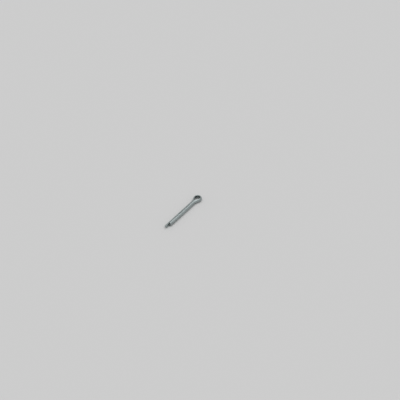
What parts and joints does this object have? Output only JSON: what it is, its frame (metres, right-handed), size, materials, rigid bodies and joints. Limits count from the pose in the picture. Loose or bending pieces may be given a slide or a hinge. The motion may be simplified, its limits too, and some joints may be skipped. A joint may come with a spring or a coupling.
{
  "type": "cotter pin",
  "caption": "Split cotter pin folded from half-round wire, with an open eye at one end and legs of unequal length, in bright zinc-plated steel.",
  "frame": {"origin": "on the shank's axis, where the two legs part into the eye", "axes": "+X along the legs to their tips, +Y to the shorter leg's side, +Z square to the flat of the eye, up as the pin lies"},
  "size_m": [0.0383, 0.0058, 0.0028],
  "materials": {
    "zinc_plated_steel": "bright zinc plate, satin, with fine draw lines along the wire"
  },
  "bodies": {
    "root": {"cotter_pin": "zinc_plated_steel"}
  },
  "joints": []
}
